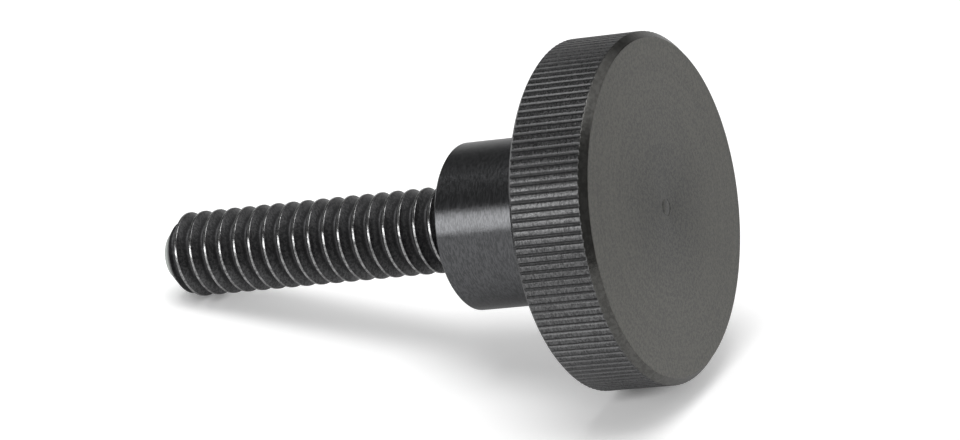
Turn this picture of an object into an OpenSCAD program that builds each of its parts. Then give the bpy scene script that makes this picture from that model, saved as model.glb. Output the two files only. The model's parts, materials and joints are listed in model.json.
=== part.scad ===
// Knurled thumb screw: a turned steel knob with a threaded stud locked into it.
// Both pieces are drawn on the screw's own axis, tip at zero, and laid down together at the end.

/* [Thread] */
// Major diameter of the thread (1/4-20 UNC)
thread_d = 6.35; // [4:0.05:8]
// Pitch of the thread (20 to the inch)
thread_pitch = 1.27; // [0.7:0.01:1.6]

/* [Stud] */
// Length of stud that stands out of the collar
stud_out = 25.4; // [12:0.1:60]
// Length of stud screwed into the knob
stud_in = 9.5; // [6:0.1:11]
// Diameter of the flat on the stud's tip, inside its 45 degree point
point_d = 3.5; // [2:0.1:3.9]
// Chamfer on the stud's inner end
inner_chamfer = 0.7; // [0.3:0.05:1]

/* [Collar] */
// Diameter of the collar
collar_d = 12.25; // [10:0.05:18]
// Length of the collar, from its shoulder to the back of the head
collar_l = 9.5; // [5:0.1:20]
// Edge break at the shoulder
collar_break = 0.15; // [0.05:0.05:0.6]
// Tool radius left in the corner between collar and head
corner_r = 0.4; // [0.2:0.05:1]

/* [Head] */
// Diameter over the knurl
head_d = 25.4; // [20:0.1:40]
// Thickness of the head
head_t = 6.1; // [5:0.1:12]
// Chamfer round the front face
face_chamfer = 0.5; // [0.4:0.05:0.9]
// Edge break round the back of the head
back_break = 0.3; // [0.25:0.05:0.6]

/* [Knurl] */
// Number of straight teeth
teeth = 128; // [96:1:132]
// Depth of the grooves
knurl_depth = 0.13; // [0.1:0.01:0.22]
// Width of a groove at its mouth
groove_w = 0.30; // [0.25:0.01:0.4]
// Width of the flat at a groove's root
root_w = 0.04; // [0.02:0.01:0.08]

/* [Tapped hole] */
// Depth tapped beyond the end of the stud
tap_runout = 1.5; // [0.5:0.1:2]
// How much wider than the thread the countersink at the mouth is
mouth_extra = 0.5; // [0.2:0.05:1]
// Radial clearance between stud and hole
thread_gap = 0.03; // [0.01:0.01:0.08]
// Angle of the drill point
drill_angle = 118; // [90:1:135]

/* [Facing mark] */
// Diameter of the fine ring left by the facing tool
mark_d = 1.2; // [0.6:0.1:3]
// Width of that ring
mark_w = 0.14; // [0.08:0.02:0.3]
// Depth of that ring
mark_depth = 0.03; // [0.02:0.01:0.1]

/* [Hidden] */
$fn = 256;

// Overshoot of a cutter past the face that it opens
over = 0.05;
// Share of the pitch between the major and the pitch diameter of a 60 degree thread
pitch_d = thread_d - 0.6495 * thread_pitch;
drill_d = thread_d - thread_pitch;

// Stations along the axis
point_h = (thread_d - point_d) / 2;
shoulder_z = stud_out;
back_z = shoulder_z + collar_l;
face_z = back_z + head_t;
inner_z = shoulder_z + stud_in;
tapped_z = inner_z + tap_runout;

// Radii
thread_r = thread_d / 2;
point_r = point_d / 2;
pitch_r = pitch_d / 2;
held_r = pitch_r - thread_gap;
collar_r = collar_d / 2;
head_r = head_d / 2;
face_r = head_r - face_chamfer;
mouth_r = (thread_d + mouth_extra) / 2;
drill_r = drill_d / 2;

// Resting attitude: the back rim of the knurl and the first full crest of the thread are on the
// floor. A groove is lowest, so the rim stands on the two teeth beside it.
rim_z = back_z + back_break;
rest_r = sqrt(head_r * head_r - groove_w * groove_w / 4);
tilt = atan((rest_r - thread_r) / (rim_z - point_h));
low_z = point_h * sin(tilt) - thread_r * cos(tilt);
left_x = min(-point_r * sin(tilt), point_h * cos(tilt) - thread_r * sin(tilt));
right_x = max(face_z * cos(tilt) + face_r * sin(tilt),
              (face_z - face_chamfer) * cos(tilt) + head_r * sin(tilt));

// Lays a piece down: the axis rises from the tip at -X to the head at +X
module lying() {
    translate([-(left_x + right_x) / 2, 0, -low_z])
        rotate([0, 90 - tilt, 0])
            children();
}

// Half section of the knob as it leaves the lathe, with its facing mark
module knob_section() {
    mark_r = mark_d / 2;
    polygon([
        [0, shoulder_z],
        [collar_r - collar_break, shoulder_z],
        [collar_r, shoulder_z + collar_break],
        [collar_r, back_z],
        [head_r - back_break, back_z],
        [head_r, rim_z],
        [head_r, face_z - face_chamfer],
        [face_r, face_z],
        [mark_r + mark_w / 2, face_z],
        [mark_r, face_z - mark_depth],
        [mark_r - mark_w / 2, face_z],
        [0, face_z],
    ]);
    translate([collar_r, back_z - corner_r])
        difference() {
            square(corner_r);
            translate([corner_r, 0])
                circle(corner_r, $fn = 64);
        }
}

// One groove's four corners, square to the rim, at angle a
function groove(a) =
    let (slope = (groove_w - root_w) / 2 / knurl_depth,
         open = groove_w / 2 + slope * over,
         corners = [[head_r + over, -open], [head_r - knurl_depth, -root_w / 2],
                    [head_r - knurl_depth, root_w / 2], [head_r + over, open]])
    [for (c = corners) [c.x * cos(a) - c.y * sin(a), c.x * sin(a) + c.y * cos(a)]];

// Cross-section of the knurled rim: the teeth stand between the grooves
module knurl_outline() {
    polygon([for (i = [0:teeth - 1]) each groove(i * 360 / teeth)]);
}

// Tapped hole, drawn at the pitch diameter, with its countersink and its drill point
module tapped_hole() {
    point_z = tapped_z + drill_r / tan(drill_angle / 2);
    rotate_extrude()
        polygon([
            [0, shoulder_z - over],
            [mouth_r + over, shoulder_z - over],
            [pitch_r, shoulder_z + mouth_r - pitch_r],
            [pitch_r, tapped_z],
            [drill_r, tapped_z],
            [0, point_z],
        ]);
}

// Knob: head and collar turned from one bar, straight-knurled, drilled and tapped
module knob() {
    color([0.23, 0.23, 0.22])
        lying()
            difference() {
                intersection() {
                    rotate_extrude()
                        knob_section();
                    translate([0, 0, shoulder_z - over])
                        linear_extrude(height = face_z - shoulder_z + 2 * over)
                            knurl_outline();
                }
                tapped_hole();
            }
}

// Stud: full diameter where it stands out, pitch diameter where its thread is in the knob
module threaded_stud() {
    color([0.12, 0.12, 0.13])
        lying()
            rotate_extrude()
                polygon([
                    [0, 0],
                    [point_r, 0],
                    [thread_r, point_h],
                    [thread_r, shoulder_z],
                    [held_r, shoulder_z + thread_r - held_r],
                    [held_r, inner_z - inner_chamfer],
                    [held_r - inner_chamfer, inner_z],
                    [0, inner_z],
                ]);
}

knob();
threaded_stud();
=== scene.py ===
import json
import math

import bmesh
import bpy
from mathutils import Matrix, Vector


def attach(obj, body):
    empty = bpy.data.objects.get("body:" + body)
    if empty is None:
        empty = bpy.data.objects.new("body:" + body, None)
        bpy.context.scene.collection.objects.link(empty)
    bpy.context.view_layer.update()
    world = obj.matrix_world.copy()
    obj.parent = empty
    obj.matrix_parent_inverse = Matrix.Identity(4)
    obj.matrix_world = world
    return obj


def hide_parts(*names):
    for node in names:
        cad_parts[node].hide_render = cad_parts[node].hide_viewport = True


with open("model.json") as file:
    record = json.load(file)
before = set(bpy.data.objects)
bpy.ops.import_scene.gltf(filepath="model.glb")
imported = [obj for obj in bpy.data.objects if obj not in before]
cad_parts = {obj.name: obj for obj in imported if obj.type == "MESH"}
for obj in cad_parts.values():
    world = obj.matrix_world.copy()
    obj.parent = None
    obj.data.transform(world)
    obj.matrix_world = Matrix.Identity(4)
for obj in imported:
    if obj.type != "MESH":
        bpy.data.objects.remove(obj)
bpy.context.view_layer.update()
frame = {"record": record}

# ---------------------------------------------------------------------------------------------
# Knob: one bar of free-cutting steel, turned to a wide head and a narrow collar, faced, drilled
# and tapped from the collar's end, straight-knurled round the head and chemically blackened.
# Sizes are in millimetres on the knob's own axis, from the collar's end towards the head.

mm = 0.001
thread = next(mount for mount in frame["record"]["mounts"] if mount["name"] == "thread")
axis = -Vector(thread["axis"]).normalized()
shoulder = Vector(thread["pos_m"]) + axis * (thread["dims"]["length_mm"] / 2 * mm)
side = Vector((0, 1, 0))
under = side.cross(axis)
turned = Matrix((under, side, axis)).transposed()
part_from_screw = Matrix.Translation(shoulder) @ turned.to_4x4() @ Matrix.Scale(mm, 4)

collar_d = 12.25
collar_l = 9.5
collar_break = 0.15
corner_r = 0.4
head_d = 25.4
head_t = 6.1
face_chamfer = 0.5
back_break = 0.3

# Sharp edges are rounded over this radius, with a narrow ring left beside them to keep flats flat
edge_r = 0.06
mouth_edge_r = 0.04
edge_ring = 0.15
back_lead = 0.1
inner_ring = 0.3
face_rings = (4, 8)

teeth = 128
knurl_depth = 0.13
groove_w = 0.30
root_w = 0.11
crest_r = 0.05
root_r = 0.05

# The grooves fade to this share of their depth over the last stretch before the front chamfer
end_share = 0.2
run_out = 0.16

mark_d = 1.2
mark_w = 0.14
mark_depth = 0.03
mark_edge_r = 0.03

mouth_r = 3.425
bore_r = 2.7627
bore_l = 11.0
drill_r = 2.54
drill_l = 12.526

collar_r = collar_d / 2
head_r = head_d / 2
face_z = collar_l + head_t
face_r = head_r - face_chamfer
back_r = head_r - back_break
mark_r = mark_d / 2


def rounded(corners, steps=4):
    """Points of an outline through corners (a, b, radius), with each corner rounded."""
    points = []
    for i, (a, b, radius) in enumerate(corners):
        here = Vector((a, b))
        if radius == 0:
            points.append(here)
            continue
        back = (Vector(corners[i - 1][:2]) - here).normalized()
        on = (Vector(corners[i + 1][:2]) - here).normalized()
        half = back.angle(on) / 2
        centre = here + (back + on).normalized() * radius / math.sin(half)
        spoke = here + back * radius / math.tan(half) - centre
        turn = (math.pi - 2 * half) * (1 if back.cross(on) < 0 else -1)
        for k in range(steps + 1):
            points.append(centre + Matrix.Rotation(turn * k / steps, 2) @ spoke)
    return points


def ring(mesh, places):
    """A ring of vertices at (angle, radius, station)."""
    return [mesh.verts.new(part_from_screw @ Vector((r * math.cos(t), r * math.sin(t), z)))
            for t, r, z in places]


def skin(mesh, first, second, material=0):
    """Faces between two rings. A ring with fewer vertices meets every so many of the other's."""
    if len(first) < len(second):
        first, second = second, first
    step = len(first) // len(second)
    for i in range(len(second)):
        j = (i + 1) % len(second)
        fine = [first[(i * step + k) % len(first)] for k in range(step + 1)]
        face = mesh.faces.new(fine + [second[j], second[i]])
        face.material_index = material
        face.smooth = True


def cap(mesh, last, station, material=0):
    """Closes a ring with a fan to the axis."""
    centre = mesh.verts.new(part_from_screw @ Vector((0, 0, station)))
    for i in range(len(last)):
        face = mesh.faces.new([last[i], last[(i + 1) % len(last)], centre])
        face.material_index = material
        face.smooth = True


pitch = math.tau * head_r / teeth
tooth = rounded([
    (0, head_r - knurl_depth, 0),
    (root_w / 2, head_r - knurl_depth, root_r),
    (groove_w / 2, head_r, crest_r),
    (pitch / 2, head_r, 0),
    (pitch - groove_w / 2, head_r, crest_r),
    (pitch - root_w / 2, head_r - knurl_depth, root_r),
    (pitch, head_r - knurl_depth, 0),
], steps=2)[:-1]
rim = [((k * pitch + p.x) / head_r, p.y) for k in range(teeth) for p in tooth]
plain_angles = [t for t, r in rim][::len(tooth) // 2]


def rim_edge(end_z, end_r, way, depth_share=1.0, steps=3):
    """Rings over the sharp end of the teeth, where they meet a 45 degree cone.

    The grooves there keep a share of their depth.
    """
    reach = crest_r * math.tan(math.radians(45 / 2))
    ends = [(t, head_r - (head_r - r) * depth_share) for t, r in rim]
    for k in range(steps + 1):
        along = k / steps
        on_cone, on_rim = (1 - along) ** 2 * reach / math.sqrt(2), along ** 2 * reach
        yield [(t, r - on_cone, end_z - way * (r - end_r - on_cone + on_rim)) for t, r in ends]


def circle(z, r):
    """A plain ring of places, with fewer of them than the teeth have."""
    return [(t, r, z) for t in plain_angles]


FACED, KNURLED, TURNED, BEVELLED = 0, 1, 2, 3
mesh = bmesh.new()
front = rounded([
    (face_z, mark_r - mark_w / 2, 0),
    (face_z - mark_depth, mark_r, mark_edge_r),
    (face_z, mark_r + mark_w / 2, mark_edge_r),
    *[(face_z, r, 0) for r in face_rings],
    (face_z, face_r - inner_ring, 0),
])
rings = [ring(mesh, circle(p.x, p.y)) for p in front]
cap(mesh, rings[0], face_z, FACED)
for first, second in zip(rings, rings[1:]):
    skin(mesh, first, second, FACED)

face_edge = rounded([
    (face_z, face_r - edge_ring, 0),
    (face_z, face_r, edge_r),
    (face_z - edge_ring, face_r + edge_ring, 0),
])[:-1]
back_edge = rounded([
    (collar_l + back_lead, back_r + back_lead, 0),
    (collar_l, back_r, edge_r),
    (collar_l, back_r - edge_ring, 0),
])[1:]
fine = [(FACED, [(t, p.y, p.x) for t, r in rim]) for p in face_edge]
fine += [(BEVELLED, places) for places in rim_edge(face_z, face_r, 1, end_share)]
fine += [(KNURLED, [(t, r, face_z - face_chamfer - run_out) for t, r in rim])]
fine += [(KNURLED, places) for places in reversed(list(rim_edge(collar_l, back_r, -1)))]
fine += [(TURNED, [(t, p.y, p.x) for t, r in rim]) for p in back_edge]
last = rings[-1]
for material, places in fine:
    following = ring(mesh, places)
    skin(mesh, last, following, material)
    last = following

back = rounded([
    (collar_l, back_r - inner_ring, 0),
    (collar_l, collar_r, corner_r),
    (collar_break, collar_r, edge_r),
    (0, collar_r - collar_break, edge_r),
    (0, mouth_r, mouth_edge_r),
    (mouth_r - bore_r, bore_r, 0),
    (bore_l, bore_r, 0),
    (bore_l, drill_r, 0),
], steps=6)
for p in back:
    following = ring(mesh, circle(p.x, p.y))
    skin(mesh, last, following, TURNED)
    last = following
cap(mesh, last, drill_l, TURNED)
bmesh.ops.recalc_face_normals(mesh, faces=mesh.faces)

knob = bpy.data.objects.new("turned_knob", bpy.data.meshes.new("turned_knob"))
mesh.to_mesh(knob.data)
mesh.free()
bpy.context.scene.collection.objects.link(knob)
flats = knob.modifiers.new("Flats stay flat", "WEIGHTED_NORMAL")
flats.keep_sharp = True


def add(tree, kind, sockets=(), **settings):
    """A shader node with its settings, and with its sockets set or linked."""
    made = tree.nodes.new(kind)
    for name, value in settings.items():
        setattr(made, name, value)
    for name, value in dict(sockets).items():
        if isinstance(value, bpy.types.NodeSocket):
            tree.links.new(value, made.inputs[name])
        else:
            made.inputs[name].default_value = value
    return made


def maths(tree, operation, first, second=0.0):
    return add(tree, "ShaderNodeMath", {0: first, 1: second}, operation=operation).outputs[0]


def times(tree, first, second):
    return maths(tree, "MULTIPLY", first, second)


def total(tree, first, *others):
    """Sum of several values."""
    for other in others:
        first = maths(tree, "ADD", first, other)
    return first


def ramp(tree, value, low, high, to_low=0.0, to_high=1.0):
    """Value carried smoothly from low..high to to_low..to_high."""
    made = add(tree, "ShaderNodeMapRange", {"Value": value, "From Min": low, "From Max": high,
                                            "To Min": to_low, "To Max": to_high},
               interpolation_type="SMOOTHSTEP")
    return made.outputs["Result"]


def noise(tree, vector, scale, detail=3.0, roughness=0.55):
    made = add(tree, "ShaderNodeTexNoise", {"Vector": vector, "Scale": scale, "Detail": detail,
                                            "Roughness": roughness})
    return made.outputs["Fac"]


def screw_places(tree):
    """Coordinates in millimetres on the screw's axis: (x, y, station), the same in parts, the radius."""
    seen = add(tree, "ShaderNodeTexCoord").outputs["Object"]
    laid = add(tree, "ShaderNodeMapping", {
        "Vector": seen, "Location": shoulder, "Rotation": turned.to_euler(),
        "Scale": (mm, mm, mm)}, vector_type="TEXTURE").outputs["Vector"]
    parts = add(tree, "ShaderNodeSeparateXYZ", {"Vector": laid}).outputs
    flat = add(tree, "ShaderNodeCombineXYZ", {"X": parts["X"], "Y": parts["Y"]}).outputs[0]
    radius = add(tree, "ShaderNodeVectorMath", {0: flat}, operation="LENGTH").outputs["Value"]
    return laid, parts, radius


def tool_marks(tree, parts, along, per_mm, round_per_mm, detail=3.0, roughness=0.55):
    """Marks left by turning: fine along the work, or across its face, and long round the axis."""
    place = add(tree, "ShaderNodeCombineXYZ", {
        "X": times(tree, parts["X"], round_per_mm),
        "Y": times(tree, parts["Y"], round_per_mm), "Z": times(tree, along, per_mm)}).outputs[0]
    return noise(tree, place, 1.0, detail, roughness)


def round_tangent(tree, laid):
    """Direction round the screw's axis, which the turning marks follow."""
    out = add(tree, "ShaderNodeVectorMath", {0: laid, 1: (1, 1, 0)}, operation="MULTIPLY")
    round_it = add(tree, "ShaderNodeVectorMath", {0: (0, 0, 1), 1: out.outputs[0]},
                   operation="CROSS_PRODUCT").outputs[0]
    turned_back = add(tree, "ShaderNodeMapping", {"Vector": round_it,
                                                  "Rotation": turned.to_euler()},
                      vector_type="VECTOR").outputs[0]
    return add(tree, "ShaderNodeVectorMath", {0: turned_back}, operation="NORMALIZE").outputs[0]


def steel(name, anisotropic=0.0, edge_tint=1.0):
    """An empty metal material with a thin oil film, which swallows part of a glancing light."""
    made = bpy.data.materials.new(name)
    made.use_nodes = True
    shader = made.node_tree.nodes["Principled BSDF"]
    shader.inputs["Metallic"].default_value = 1.0
    shader.inputs["Anisotropic"].default_value = anisotropic
    shader.inputs["Anisotropic Rotation"].default_value = 0.25
    shader.inputs["Specular Tint"].default_value = (edge_tint, edge_tint, edge_tint, 1)
    shader.inputs["Coat Weight"].default_value = 0.5
    shader.inputs["Coat IOR"].default_value = 1.0
    shader.inputs["Coat Roughness"].default_value = 1.0
    shader.inputs["Coat Tint"].default_value = (0.85, 0.85, 0.85, 1)
    return made, made.node_tree, shader


def tone(tree, factor, dark, light):
    """Colour between dark and light. Either of them may be made by other nodes."""
    made = add(tree, "ShaderNodeMix", {"Factor": factor}, data_type="RGBA")
    for name, colour in (("A", dark), ("B", light)):
        if isinstance(colour, bpy.types.NodeSocket):
            tree.links.new(colour, made.inputs[name])
        else:
            made.inputs[name].default_value = (*colour, 1)
    return made.outputs["Result"]


def bumped(tree, height, depth, normal=None):
    """Normal bent by a height in 0..1, which stands for that depth in metres."""
    made = add(tree, "ShaderNodeBump", {"Height": height, "Distance": depth})
    if normal is not None:
        tree.links.new(normal, made.inputs["Normal"])
    return made.outputs["Normal"]


def faced_steel():
    """Matt front face: fine facing marks under a dull oxide, and a painted sheen that grows towards the
    rim, so it is a little darker in the middle.
    """
    face_black, face_grey_and_rim_sheen = (0.058, 0.059, 0.060), (0.149, 0.146, 0.132)
    grain_depth, mark_height = 0.016 * mm, 0.004 * mm
    made, tree, shader = steel("faced_black_steel", anisotropic=0.3)
    laid, parts, radius = screw_places(tree)
    marks = tool_marks(tree, parts, radius, per_mm=4.5, round_per_mm=0.05)
    grain = noise(tree, laid, 4.5, 3.0, 0.8)
    cloud = noise(tree, laid, 0.5, 3.0)
    # Painted sheen: the face is painted lighter from the middle out towards its rim.
    painted_rim_sheen = ramp(tree, radius, 0.5, 9.0)
    mixed = total(tree, times(tree, ramp(tree, grain, 0.4, 0.6), 0.55), times(tree, cloud, 0.15),
                  times(tree, painted_rim_sheen, 0.34), ramp(tree, marks, 0.35, 0.65, -0.06, 0.06))
    tree.links.new(tone(tree, mixed, face_black, face_grey_and_rim_sheen), shader.inputs["Base Color"])
    tree.links.new(ramp(tree, grain, 0.2, 0.8, 0.38, 0.50), shader.inputs["Roughness"])
    rough = bumped(tree, grain, grain_depth)
    tree.links.new(bumped(tree, marks, mark_height, rough), shader.inputs["Normal"])
    tree.links.new(round_tangent(tree, laid), shader.inputs["Tangent"])
    return made


def turned_steel(name, dark, light):
    """Smooth turned surfaces: fine marks round the axis, which stretch a highlight along it."""
    mark_height = 0.006 * mm
    made, tree, shader = steel(name, anisotropic=0.7, edge_tint=0.78)
    laid, parts, radius = screw_places(tree)
    along = total(tree, parts["Z"], times(tree, radius, 0.6))
    marks = tool_marks(tree, parts, along, per_mm=6.0, round_per_mm=0.02, detail=4.0, roughness=0.7)
    streaks = tool_marks(tree, parts, along, per_mm=10.0, round_per_mm=2.5, roughness=0.7)
    tree.links.new(tone(tree, ramp(tree, streaks, 0.42, 0.58), dark, light), shader.inputs["Base Color"])
    tree.links.new(ramp(tree, streaks, 0.25, 0.75, 0.20, 0.27), shader.inputs["Roughness"])
    height = total(tree, times(tree, marks, 0.4), times(tree, streaks, 0.6))
    tree.links.new(bumped(tree, height, mark_height), shader.inputs["Normal"])
    tree.links.new(round_tangent(tree, laid), shader.inputs["Tangent"])
    return made


def knurled_steel():
    """Knurled rim: pressed grooves across the old turning marks, rubbed a little thin on the crests,
    which carry painted shade along those marks; the groove ends before the front chamfer carry painted
    shade too.
    """
    black, grey = (0.046, 0.046, 0.047), (0.172, 0.172, 0.174)
    grain_depth = 0.030 * mm
    root_at = head_r - knurl_depth
    end_z = face_z - face_chamfer - run_out
    made, tree, shader = steel("knurled_black_steel", edge_tint=0.78)
    laid, parts, radius = screw_places(tree)
    marks = tool_marks(tree, parts, parts["Z"], per_mm=7.0, round_per_mm=3.0, roughness=0.7)
    grain = noise(tree, laid, 7.0, 3.0, 0.8)
    crest = ramp(tree, radius, head_r - 0.05, head_r - 0.005)
    # Painted shade darkens every crest, more in some places than others along the old turning marks.
    crest_marks_and_shade = times(tree, crest, ramp(tree, marks, 0.4, 0.6, -0.46, -0.04))
    speckle = ramp(tree, grain, 0.4, 0.6, 0.38, 0.74)
    dark_root = ramp(tree, radius, root_at + 0.01, root_at + 0.06, -0.48, 0.08)
    # Painted shade darkens the grooves, not the crests, over the last stretch before the front chamfer.
    painted_groove_end_shade = times(tree, ramp(tree, parts["Z"], end_z, end_z + 0.1, 0.0, -0.3),
                     maths(tree, "SUBTRACT", 1.0, crest))
    # Tone of the rim: random speckle, darker groove roots, and painted shade on the crests and at the
    # groove ends.
    tone_mix = total(tree, crest_marks_and_shade, speckle, dark_root, painted_groove_end_shade)
    tree.links.new(tone(tree, tone_mix, black, grey), shader.inputs["Base Color"])
    rough = maths(tree, "SUBTRACT", ramp(tree, grain, 0.25, 0.75, 0.42, 0.52), times(tree, crest, 0.17))
    tree.links.new(rough, shader.inputs["Roughness"])
    height = total(tree, times(tree, marks, 0.4), times(tree, grain, 0.6))
    tree.links.new(bumped(tree, height, grain_depth), shader.inputs["Normal"])
    return made


turned_collar = turned_steel("turned_black_steel", (0.064, 0.065, 0.067), (0.100, 0.101, 0.105))
turned_bevel = turned_steel("bevelled_black_steel", (0.075, 0.074, 0.070), (0.102, 0.101, 0.096))
for material in (faced_steel(), knurled_steel(), turned_collar, turned_bevel):
    knob.data.materials.append(material)
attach(knob, "root")
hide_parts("knob")

# ---------------------------------------------------------------------------------------------
# Stud: a length of rolled 1/4-20 right-hand thread with a 45 degree point, black oxide and oil,
# screwed into the knob and locked there. Its first crests are cut away by the point.

thread_r = thread["dims"]["r_mm"]
thread_p = 1.27
stud_out = 25.4
stud_in = 9.5
point_r = 1.75
held_r = 2.7327
inner_chamfer = 0.7

# Station of the first crest at angle zero, from the tip, and the form's own sizes
first_crest = 0.962
crest_flat = thread_p / 7
crest_edge_r = 0.05
sharp_depth = (thread_p - crest_flat) / 2 / math.tan(math.radians(30))
thread_root_r = 0.1443 * thread_p

# Lines of the form round the axis, and how near two points of a line are one point
columns = 192
end_gap = 0.02
same_point = 0.0005 * mm

form = rounded([
    (0, thread_r, 0),
    (crest_flat / 2, thread_r, crest_edge_r),
    (thread_p / 2, thread_r - sharp_depth, thread_root_r),
    (thread_p - crest_flat / 2, thread_r, crest_edge_r),
    (thread_p, thread_r, 0),
])[:-1]
blank = [
    (-stud_out, point_r),
    (-stud_out + thread_r - point_r, thread_r),
    (0, thread_r),
    (thread_r - held_r, held_r),
    (stud_in - inner_chamfer, held_r),
    (stud_in, held_r - inner_chamfer),
]
turns = math.ceil((stud_out + stud_in) / thread_p) + 3
start = first_crest - stud_out - 2 * thread_p


def blank_radius(z):
    """Radius of the bar at a station, with its point and its turned-down end."""
    for (z0, r0), (z1, r1) in zip(blank, blank[1:]):
        if z <= z1:
            return r0 + (r1 - r0) * (z - z0) / (z1 - z0)
    return blank[-1][1]


def cut_back(places):
    """A line of the thread's form (station, radius), ended exactly where it would leave the bar."""
    over = [r - blank_radius(z) for z, r in places]
    cut = list(places)
    for i, (z, r) in enumerate(places):
        if over[i] <= 0:
            continue
        cut[i] = (z, blank_radius(z))
        for k in (i - 1, i + 1):
            if 0 <= k < len(places) and over[k] <= 0:
                share = over[k] / (over[k] - over[i])
                cut[i] = tuple(Vector(places[k]).lerp(Vector((z, r)), share))
    return cut


mesh = bmesh.new()
angles = [math.tau * j / columns for j in range(columns)]
tip = ring(mesh, [(t, point_r, -stud_out) for t in angles])
end = ring(mesh, [(t, held_r - inner_chamfer, stud_in) for t in angles])
cap(mesh, tip, -stud_out)
cap(mesh, end, stud_in)
lines = []
for j, t in enumerate(angles):
    whole = [(start + thread_p * (turn + j / columns) + p.x, p.y) for turn in range(turns) for p in form]
    line = {}
    for i, (z, r) in enumerate(cut_back(whole)):
        if -stud_out + end_gap < z < stud_in - end_gap:
            line[i] = ring(mesh, [(t, r, z)])[0]
    lines.append(line)
for j in range(columns):
    here = lines[j]
    if j + 1 < columns:
        there = lines[j + 1]
    else:
        there = {i - len(form): vertex for i, vertex in lines[0].items()}
    k = (j + 1) % columns
    low = max(min(here), min(there))
    high = min(max(here), max(there))
    mesh.faces.new([tip[k], tip[j]] + [here[i] for i in range(min(here), low + 1)]
                   + [there[i] for i in range(low, min(there) - 1, -1)])
    mesh.faces.new([end[j], end[k]] + [there[i] for i in range(max(there), high - 1, -1)]
                   + [here[i] for i in range(high, max(here) + 1)])
    for i in range(low, high):
        mesh.faces.new([here[i], there[i], there[i + 1], here[i + 1]])
bmesh.ops.remove_doubles(mesh, verts=mesh.verts, dist=same_point)
bmesh.ops.dissolve_degenerate(mesh, edges=mesh.edges, dist=same_point)
bmesh.ops.recalc_face_normals(mesh, faces=mesh.faces)

stud = bpy.data.objects.new("threaded_stud_piece", bpy.data.meshes.new("threaded_stud_piece"))
mesh.to_mesh(stud.data)
mesh.free()
bpy.context.scene.collection.objects.link(stud)
stud.data.shade_smooth()
stud.data.set_sharp_from_angle(angle=math.radians(35))
flats = stud.modifiers.new("Flanks stay flat", "WEIGHTED_NORMAL")
flats.keep_sharp = True


def thread_steel():
    """Black thread, oily and rubbed bright in places along its crests, dull down in its roots."""
    black, grey = (0.058, 0.058, 0.060), (0.128, 0.128, 0.130)
    rubbed_steel, bare_steel = (0.30, 0.30, 0.30), (0.37, 0.40, 0.38)
    grain_depth = 0.010 * mm
    made, tree, shader = steel("oiled_black_steel")
    laid, parts, radius = screw_places(tree)
    streak = tool_marks(tree, parts, parts["Z"], per_mm=9.0, round_per_mm=0.5, roughness=0.6)
    grain = noise(tree, laid, 5.0, 3.0, 0.8)
    patch = noise(tree, laid, 3.5, 3.0, 0.8)
    crest = ramp(tree, radius, thread_r - 0.03, thread_r - 0.005)
    tone_mix = times(tree, crest, ramp(tree, patch, 0.42, 0.56, 0.2, 1.0))
    dark_root = ramp(tree, radius, thread_r - 0.62, thread_r - 0.40, -0.6, 0.0)
    speckle = total(tree, ramp(tree, grain, 0.4, 0.6), dark_root)
    bare = ramp(tree, parts["Z"], 0.9 - stud_out, 0.3 - stud_out)
    rubbed = tone(tree, tone_mix, tone(tree, speckle, black, grey), rubbed_steel)
    tree.links.new(tone(tree, bare, rubbed, bare_steel), shader.inputs["Base Color"])
    rough = ramp(tree, radius, thread_r - 0.45, thread_r - 0.1, 0.55, 0.36)
    rough = maths(tree, "SUBTRACT", rough, times(tree, crest, 0.18))
    rough = maths(tree, "SUBTRACT", rough, times(tree, bare, 0.22))
    rough = total(tree, rough, ramp(tree, grain, 0.25, 0.75, -0.04, 0.04))
    tree.links.new(rough, shader.inputs["Roughness"])
    height = total(tree, times(tree, streak, 0.3), times(tree, grain, 0.7))
    tree.links.new(bumped(tree, height, grain_depth), shader.inputs["Normal"])
    return made


stud.data.materials.append(thread_steel())
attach(stud, "root")
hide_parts("threaded_stud")

# ---------------------------------------------------------------------------------------------
# Studio: a matt white floor, a wide softbox overhead and a little to the camera's side, a strip
# softbox low on the left of the camera, and a dim room with pale paper low down behind.

floor_half = 3.0
floor_mesh = bmesh.new()
bmesh.ops.create_grid(floor_mesh, x_segments=1, y_segments=1, size=floor_half)
floor = bpy.data.objects.new("studio_floor", bpy.data.meshes.new("studio_floor"))
floor_mesh.to_mesh(floor.data)
floor_mesh.free()
bpy.context.scene.collection.objects.link(floor)


def towards(azimuth, elevation):
    """Direction in degrees. Azimuth is from +X towards +Y."""
    a, e = math.radians(azimuth), math.radians(elevation)
    return Vector((math.cos(a) * math.cos(e), math.sin(a) * math.cos(e), math.sin(e)))


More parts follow.
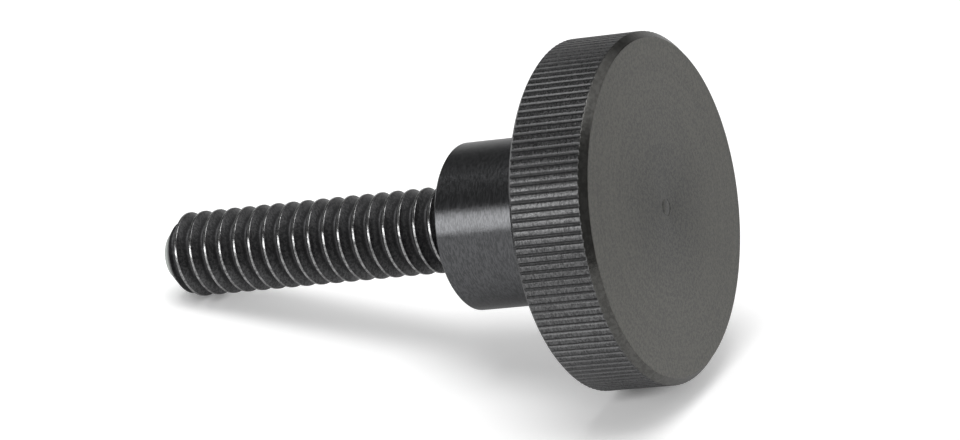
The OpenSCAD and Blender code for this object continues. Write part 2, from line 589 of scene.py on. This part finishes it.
def white_paper():
    """Matt white, with a low glow for the camera and reflections that keeps its shadows light.

    The glow fades with the distance in front of the screw, and close under it.
    """
    front_way = (0.88, -0.47, 0.0)
    fade_from, fade_to = 0.012, 0.050
    near_glow, far_glow = 0.30, 0.06
    contact_reach, contact_glow = 0.0013, 0.25
    made = bpy.data.materials.new("white_paper")
    made.use_nodes = True
    tree = made.node_tree
    shader = tree.nodes["Principled BSDF"]
    shader.inputs["Base Color"].default_value = (0.93, 0.93, 0.93, 1)
    shader.inputs["Roughness"].default_value = 1.0
    shader.inputs["Specular IOR Level"].default_value = 0.0
    shader.inputs["Emission Color"].default_value = (1, 1, 1, 1)
    rays = add(tree, "ShaderNodeLightPath").outputs
    seen = maths(tree, "MAXIMUM", rays["Is Camera Ray"], rays["Is Glossy Ray"])
    seen = maths(tree, "MAXIMUM", seen, rays["Is Transmission Ray"])
    place = add(tree, "ShaderNodeTexCoord").outputs["Object"]
    away = add(tree, "ShaderNodeVectorMath", {0: place, 1: front_way},
               operation="DOT_PRODUCT").outputs["Value"]
    glow = ramp(tree, away, fade_from, fade_to, near_glow, far_glow)
    clear = add(tree, "ShaderNodeAmbientOcclusion", {"Distance": contact_reach}, samples=16).outputs["AO"]
    close = ramp(tree, clear, 0.10, 0.70, contact_glow, 1.0)
    tree.links.new(times(tree, times(tree, seen, glow), close), shader.inputs["Emission Strength"])
    return made


floor.data.materials.append(white_paper())


def softbox(name, azimuth, elevation, distance, width, height, radiance):
    """A rectangular lamp that faces the object, and is not seen by the camera."""
    lamp = bpy.data.lights.new(name, "AREA")
    lamp.shape = "RECTANGLE"
    lamp.size, lamp.size_y = width, height
    lamp.energy = radiance * math.pi * width * height
    holder = bpy.data.objects.new(name, lamp)
    bpy.context.scene.collection.objects.link(holder)
    way = towards(azimuth, elevation)
    holder.location = way * distance
    holder.rotation_euler = way.to_track_quat("Z", "Y").to_euler()
    holder.visible_camera = False


softbox("overhead", azimuth=-140, elevation=84, distance=0.70, width=0.44, height=0.44, radiance=4.8)
softbox("strip", azimuth=-126.5, elevation=15.5, distance=0.36, width=0.20, height=0.14, radiance=4.9)


def room(tree):
    """Strength of the room: dim, with one broad glow high up, and pale paper low down behind."""
    glow_way = towards(50, 58)
    dim_room, bright_glow = 0.25, 1.05
    paper_way = (-0.17, 0.98, 0.0)
    paper_top, paper_full = 0.47, 0.10
    way = add(tree, "ShaderNodeTexCoord").outputs["Generated"]
    near_glow = add(tree, "ShaderNodeVectorMath", {0: way, 1: glow_way},
                    operation="DOT_PRODUCT").outputs["Value"]
    glow = ramp(tree, near_glow, 0.84, 0.98, dim_room, bright_glow)
    height = add(tree, "ShaderNodeSeparateXYZ", {"Vector": way}).outputs["Z"]
    behind = add(tree, "ShaderNodeVectorMath", {0: way, 1: paper_way},
                 operation="DOT_PRODUCT").outputs["Value"]
    on_paper = times(tree, ramp(tree, height, paper_top, paper_full), ramp(tree, behind, -0.2, 0.3))
    return add(tree, "ShaderNodeMix", {"Factor": on_paper, "A": glow, "B": 1.0},
               data_type="FLOAT").outputs["Result"]


world = bpy.data.worlds.new("studio")
bpy.context.scene.world = world
world.use_nodes = True
background = world.node_tree.nodes["Background"]
background.inputs["Color"].default_value = (1, 1, 1, 1)
world.node_tree.links.new(room(world.node_tree), background.inputs["Strength"])

# ---------------------------------------------------------------------------------------------
# Camera: a long lens 36 cm away, above the table and round on the head's side, so that the head's
# face, its knurl and the whole length of the stud are in view.

lens = 184.0
distance = 0.35814
aim = Vector((0.003149, 0.001408, 0.009476))
camera_way = towards(-65.90, 24.02)
camera = bpy.data.objects.new("camera", bpy.data.cameras.new("camera"))
bpy.context.scene.collection.objects.link(camera)
camera.data.sensor_width = 36.0
camera.data.lens = lens
camera.data.clip_start = 0.01
camera.data.clip_end = 20.0
camera.location = aim + camera_way * distance
camera.rotation_mode = "QUATERNION"
camera.rotation_quaternion = camera_way.to_track_quat("Z", "Y")
bpy.context.scene.camera = camera
bpy.context.scene.view_settings.view_transform = "Standard"
